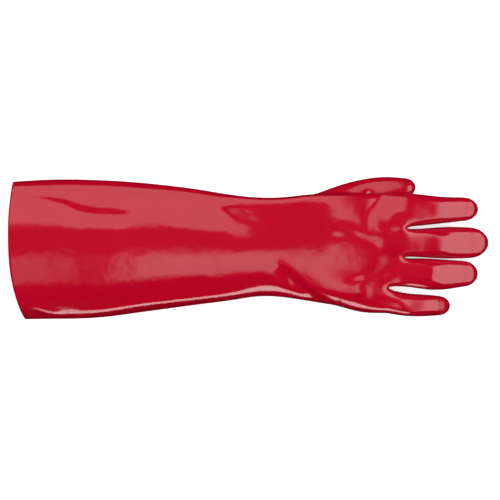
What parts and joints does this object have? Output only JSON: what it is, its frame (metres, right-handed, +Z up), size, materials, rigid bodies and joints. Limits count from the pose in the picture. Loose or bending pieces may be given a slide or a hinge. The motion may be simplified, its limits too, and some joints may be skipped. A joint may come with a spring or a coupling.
{
  "type": "pvc coated work glove",
  "caption": "Long right-hand work gauntlet with a smooth red coat over a knitted liner, hollow, open at the cuff, lying on its palm.",
  "frame": {"origin": "on the surface that the glove lies on, under the middle of its bounding box", "axes": "+X from the cuff to the fingertips, +Y towards the thumb's side, +Z up out of the back of the hand"},
  "size_m": [0.4498, 0.134, 0.038],
  "materials": {
    "pvc_coat": "smooth red PVC coat with a soft gloss, bonded to a knitted cotton liner",
    "cotton_knit": "raw interlock cotton, the inside of the same wall"
  },
  "bodies": {
    "root": {"coated_shell": "pvc_coat"}
  },
  "joints": []
}
